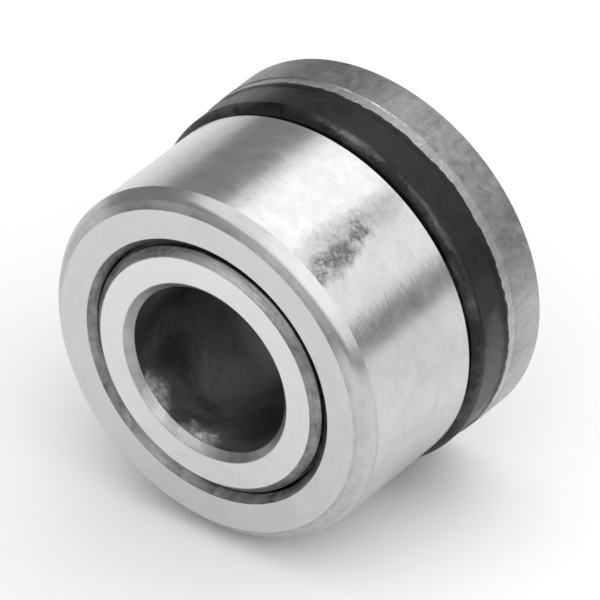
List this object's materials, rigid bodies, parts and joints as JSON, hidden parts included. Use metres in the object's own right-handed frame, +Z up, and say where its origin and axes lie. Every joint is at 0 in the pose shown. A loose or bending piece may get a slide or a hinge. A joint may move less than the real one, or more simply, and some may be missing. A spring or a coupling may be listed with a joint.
{
  "type": "cam follower",
  "caption": "Yoke-type cam follower: a wide ground steel roller and a slightly larger tyre on a black elastomer ring, side by side on one bored inner ring.",
  "frame": {"origin": "centre of the inner ring: on the bore's axis, halfway between its front and rear faces", "axes": "+Y along the axis of rotation, from the front face to the rear; +Z up; +X to the right as seen from the front"},
  "size_m": [0.0562, 0.039, 0.0562],
  "materials": {
    "ground_steel": "ground",
    "matt_steel": "matt",
    "rolling_steel": "polished",
    "spring_steel": "phosphated",
    "black_rubber": "moulded",
    "cage_polyamide": "moulded"
  },
  "bodies": {
    "core": {"inner_ring": "ground_steel", "middle_guide_ring": "ground_steel", "rear_side_ring": "ground_steel", "front_face_seal": "black_rubber", "rear_face_seal": "black_rubber"},
    "front_roller": {"front_roller": "ground_steel", "front_retaining_ring": "spring_steel", "front_inner_seal": "black_rubber"},
    "rear_roller": {"rear_race_ring": "ground_steel", "buffer_ring": "black_rubber", "rear_tyre": "matt_steel", "rear_retaining_ring": "spring_steel", "rear_inner_seal": "black_rubber"},
    "front_cage": {"front_cage": "cage_polyamide"},
    "front_needle_01": {"front_needle_01": "rolling_steel"},
    "front_needle_02": {"front_needle_02": "rolling_steel"},
    "front_needle_03": {"front_needle_03": "rolling_steel"},
    "front_needle_04": {"front_needle_04": "rolling_steel"},
    "front_needle_05": {"front_needle_05": "rolling_steel"},
    "front_needle_06": {"front_needle_06": "rolling_steel"},
    "front_needle_07": {"front_needle_07": "rolling_steel"},
    "front_needle_08": {"front_needle_08": "rolling_steel"},
    "front_needle_09": {"front_needle_09": "rolling_steel"},
    "front_needle_10": {"front_needle_10": "rolling_steel"},
    "front_needle_11": {"front_needle_11": "rolling_steel"},
    "front_needle_12": {"front_needle_12": "rolling_steel"},
    "front_needle_13": {"front_needle_13": "rolling_steel"},
    "front_needle_14": {"front_needle_14": "rolling_steel"},
    "front_needle_15": {"front_needle_15": "rolling_steel"},
    "front_needle_16": {"front_needle_16": "rolling_steel"},
    "rear_cage": {"rear_cage": "cage_polyamide"},
    "rear_needle_01": {"rear_needle_01": "rolling_steel"},
    "rear_needle_02": {"rear_needle_02": "rolling_steel"},
    "rear_needle_03": {"rear_needle_03": "rolling_steel"},
    "rear_needle_04": {"rear_needle_04": "rolling_steel"},
    "rear_needle_05": {"rear_needle_05": "rolling_steel"},
    "rear_needle_06": {"rear_needle_06": "rolling_steel"},
    "rear_needle_07": {"rear_needle_07": "rolling_steel"},
    "rear_needle_08": {"rear_needle_08": "rolling_steel"},
    "rear_needle_09": {"rear_needle_09": "rolling_steel"},
    "rear_needle_10": {"rear_needle_10": "rolling_steel"},
    "rear_needle_11": {"rear_needle_11": "rolling_steel"},
    "rear_needle_12": {"rear_needle_12": "rolling_steel"},
    "rear_needle_13": {"rear_needle_13": "rolling_steel"},
    "rear_needle_14": {"rear_needle_14": "rolling_steel"},
    "rear_needle_15": {"rear_needle_15": "rolling_steel"},
    "rear_needle_16": {"rear_needle_16": "rolling_steel"}
  },
  "joints": [
    {"name": "front_roller_spin", "type": "hinge", "parent": "core", "child": "front_roller", "pos_m": [0, 0, 0], "axis": [0, 1, 0], "continuous": true},
    {"name": "rear_roller_spin", "type": "hinge", "parent": "core", "child": "rear_roller", "pos_m": [0, 0, 0], "axis": [0, 1, 0], "continuous": true},
    {"name": "front_cage_orbit", "type": "hinge", "parent": "core", "child": "front_cage", "pos_m": [0, 0, 0], "axis": [0, 1, 0], "continuous": true},
    {"name": "front_needle_01_spin", "type": "hinge", "parent": "front_cage", "child": "front_needle_01", "pos_m": [0.0179, -0.007, 0], "axis": [0, 1, 0], "continuous": true},
    {"name": "front_needle_02_spin", "type": "hinge", "parent": "front_cage", "child": "front_needle_02", "pos_m": [0.01654, -0.007, -0.00685], "axis": [0, 1, 0], "continuous": true},
    {"name": "front_needle_03_spin", "type": "hinge", "parent": "front_cage", "child": "front_needle_03", "pos_m": [0.01266, -0.007, -0.01266], "axis": [0, 1, 0], "continuous": true},
    {"name": "front_needle_04_spin", "type": "hinge", "parent": "front_cage", "child": "front_needle_04", "pos_m": [0.00685, -0.007, -0.01654], "axis": [0, 1, 0], "continuous": true},
    {"name": "front_needle_05_spin", "type": "hinge", "parent": "front_cage", "child": "front_needle_05", "pos_m": [0, -0.007, -0.0179], "axis": [0, 1, 0], "continuous": true},
    {"name": "front_needle_06_spin", "type": "hinge", "parent": "front_cage", "child": "front_needle_06", "pos_m": [-0.00685, -0.007, -0.01654], "axis": [0, 1, 0], "continuous": true},
    {"name": "front_needle_07_spin", "type": "hinge", "parent": "front_cage", "child": "front_needle_07", "pos_m": [-0.01266, -0.007, -0.01266], "axis": [0, 1, 0], "continuous": true},
    {"name": "front_needle_08_spin", "type": "hinge", "parent": "front_cage", "child": "front_needle_08", "pos_m": [-0.01654, -0.007, -0.00685], "axis": [0, 1, 0], "continuous": true},
    {"name": "front_needle_09_spin", "type": "hinge", "parent": "front_cage", "child": "front_needle_09", "pos_m": [-0.0179, -0.007, 0], "axis": [0, 1, 0], "continuous": true},
    {"name": "front_needle_10_spin", "type": "hinge", "parent": "front_cage", "child": "front_needle_10", "pos_m": [-0.01654, -0.007, 0.00685], "axis": [0, 1, 0], "continuous": true},
    {"name": "front_needle_11_spin", "type": "hinge", "parent": "front_cage", "child": "front_needle_11", "pos_m": [-0.01266, -0.007, 0.01266], "axis": [0, 1, 0], "continuous": true},
    {"name": "front_needle_12_spin", "type": "hinge", "parent": "front_cage", "child": "front_needle_12", "pos_m": [-0.00685, -0.007, 0.01654], "axis": [0, 1, 0], "continuous": true},
    {"name": "front_needle_13_spin", "type": "hinge", "parent": "front_cage", "child": "front_needle_13", "pos_m": [0, -0.007, 0.0179], "axis": [0, 1, 0], "continuous": true},
    {"name": "front_needle_14_spin", "type": "hinge", "parent": "front_cage", "child": "front_needle_14", "pos_m": [0.00685, -0.007, 0.01654], "axis": [0, 1, 0], "continuous": true},
    {"name": "front_needle_15_spin", "type": "hinge", "parent": "front_cage", "child": "front_needle_15", "pos_m": [0.01266, -0.007, 0.01266], "axis": [0, 1, 0], "continuous": true},
    {"name": "front_needle_16_spin", "type": "hinge", "parent": "front_cage", "child": "front_needle_16", "pos_m": [0.01654, -0.007, 0.00685], "axis": [0, 1, 0], "continuous": true},
    {"name": "rear_cage_orbit", "type": "hinge", "parent": "core", "child": "rear_cage", "pos_m": [0, 0, 0], "axis": [0, 1, 0], "continuous": true},
    {"name": "rear_needle_01_spin", "type": "hinge", "parent": "rear_cage", "child": "rear_needle_01", "pos_m": [0.0179, 0.0124, 0], "axis": [0, 1, 0], "continuous": true},
    {"name": "rear_needle_02_spin", "type": "hinge", "parent": "rear_cage", "child": "rear_needle_02", "pos_m": [0.01654, 0.0124, -0.00685], "axis": [0, 1, 0], "continuous": true},
    {"name": "rear_needle_03_spin", "type": "hinge", "parent": "rear_cage", "child": "rear_needle_03", "pos_m": [0.01266, 0.0124, -0.01266], "axis": [0, 1, 0], "continuous": true},
    {"name": "rear_needle_04_spin", "type": "hinge", "parent": "rear_cage", "child": "rear_needle_04", "pos_m": [0.00685, 0.0124, -0.01654], "axis": [0, 1, 0], "continuous": true},
    {"name": "rear_needle_05_spin", "type": "hinge", "parent": "rear_cage", "child": "rear_needle_05", "pos_m": [0, 0.0124, -0.0179], "axis": [0, 1, 0], "continuous": true},
    {"name": "rear_needle_06_spin", "type": "hinge", "parent": "rear_cage", "child": "rear_needle_06", "pos_m": [-0.00685, 0.0124, -0.01654], "axis": [0, 1, 0], "continuous": true},
    {"name": "rear_needle_07_spin", "type": "hinge", "parent": "rear_cage", "child": "rear_needle_07", "pos_m": [-0.01266, 0.0124, -0.01266], "axis": [0, 1, 0], "continuous": true},
    {"name": "rear_needle_08_spin", "type": "hinge", "parent": "rear_cage", "child": "rear_needle_08", "pos_m": [-0.01654, 0.0124, -0.00685], "axis": [0, 1, 0], "continuous": true},
    {"name": "rear_needle_09_spin", "type": "hinge", "parent": "rear_cage", "child": "rear_needle_09", "pos_m": [-0.0179, 0.0124, 0], "axis": [0, 1, 0], "continuous": true},
    {"name": "rear_needle_10_spin", "type": "hinge", "parent": "rear_cage", "child": "rear_needle_10", "pos_m": [-0.01654, 0.0124, 0.00685], "axis": [0, 1, 0], "continuous": true},
    {"name": "rear_needle_11_spin", "type": "hinge", "parent": "rear_cage", "child": "rear_needle_11", "pos_m": [-0.01266, 0.0124, 0.01266], "axis": [0, 1, 0], "continuous": true},
    {"name": "rear_needle_12_spin", "type": "hinge", "parent": "rear_cage", "child": "rear_needle_12", "pos_m": [-0.00685, 0.0124, 0.01654], "axis": [0, 1, 0], "continuous": true},
    {"name": "rear_needle_13_spin", "type": "hinge", "parent": "rear_cage", "child": "rear_needle_13", "pos_m": [0, 0.0124, 0.0179], "axis": [0, 1, 0], "continuous": true},
    {"name": "rear_needle_14_spin", "type": "hinge", "parent": "rear_cage", "child": "rear_needle_14", "pos_m": [0.00685, 0.0124, 0.01654], "axis": [0, 1, 0], "continuous": true},
    {"name": "rear_needle_15_spin", "type": "hinge", "parent": "rear_cage", "child": "rear_needle_15", "pos_m": [0.01266, 0.0124, 0.01266], "axis": [0, 1, 0], "continuous": true},
    {"name": "rear_needle_16_spin", "type": "hinge", "parent": "rear_cage", "child": "rear_needle_16", "pos_m": [0.01654, 0.0124, 0.00685], "axis": [0, 1, 0], "continuous": true}
  ],
  "couplings": [
    {"joint": "front_cage_orbit", "follows": "front_roller_spin", "ratio": 0.56983},
    {"joint": "front_needle_01_spin", "follows": "front_roller_spin", "ratio": 3.5102},
    {"joint": "front_needle_02_spin", "follows": "front_roller_spin", "ratio": 3.5102},
    {"joint": "front_needle_03_spin", "follows": "front_roller_spin", "ratio": 3.5102},
    {"joint": "front_needle_04_spin", "follows": "front_roller_spin", "ratio": 3.5102},
    {"joint": "front_needle_05_spin", "follows": "front_roller_spin", "ratio": 3.5102},
    {"joint": "front_needle_06_spin", "follows": "front_roller_spin", "ratio": 3.5102},
    {"joint": "front_needle_07_spin", "follows": "front_roller_spin", "ratio": 3.5102},
    {"joint": "front_needle_08_spin", "follows": "front_roller_spin", "ratio": 3.5102},
    {"joint": "front_needle_09_spin", "follows": "front_roller_spin", "ratio": 3.5102},
    {"joint": "front_needle_10_spin", "follows": "front_roller_spin", "ratio": 3.5102},
    {"joint": "front_needle_11_spin", "follows": "front_roller_spin", "ratio": 3.5102},
    {"joint": "front_needle_12_spin", "follows": "front_roller_spin", "ratio": 3.5102},
    {"joint": "front_needle_13_spin", "follows": "front_roller_spin", "ratio": 3.5102},
    {"joint": "front_needle_14_spin", "follows": "front_roller_spin", "ratio": 3.5102},
    {"joint": "front_needle_15_spin", "follows": "front_roller_spin", "ratio": 3.5102},
    {"joint": "front_needle_16_spin", "follows": "front_roller_spin", "ratio": 3.5102},
    {"joint": "rear_cage_orbit", "follows": "rear_roller_spin", "ratio": 0.56983},
    {"joint": "rear_needle_01_spin", "follows": "rear_roller_spin", "ratio": 3.5102},
    {"joint": "rear_needle_02_spin", "follows": "rear_roller_spin", "ratio": 3.5102},
    {"joint": "rear_needle_03_spin", "follows": "rear_roller_spin", "ratio": 3.5102},
    {"joint": "rear_needle_04_spin", "follows": "rear_roller_spin", "ratio": 3.5102},
    {"joint": "rear_needle_05_spin", "follows": "rear_roller_spin", "ratio": 3.5102},
    {"joint": "rear_needle_06_spin", "follows": "rear_roller_spin", "ratio": 3.5102},
    {"joint": "rear_needle_07_spin", "follows": "rear_roller_spin", "ratio": 3.5102},
    {"joint": "rear_needle_08_spin", "follows": "rear_roller_spin", "ratio": 3.5102},
    {"joint": "rear_needle_09_spin", "follows": "rear_roller_spin", "ratio": 3.5102},
    {"joint": "rear_needle_10_spin", "follows": "rear_roller_spin", "ratio": 3.5102},
    {"joint": "rear_needle_11_spin", "follows": "rear_roller_spin", "ratio": 3.5102},
    {"joint": "rear_needle_12_spin", "follows": "rear_roller_spin", "ratio": 3.5102},
    {"joint": "rear_needle_13_spin", "follows": "rear_roller_spin", "ratio": 3.5102},
    {"joint": "rear_needle_14_spin", "follows": "rear_roller_spin", "ratio": 3.5102},
    {"joint": "rear_needle_15_spin", "follows": "rear_roller_spin", "ratio": 3.5102},
    {"joint": "rear_needle_16_spin", "follows": "rear_roller_spin", "ratio": 3.5102}
  ]
}
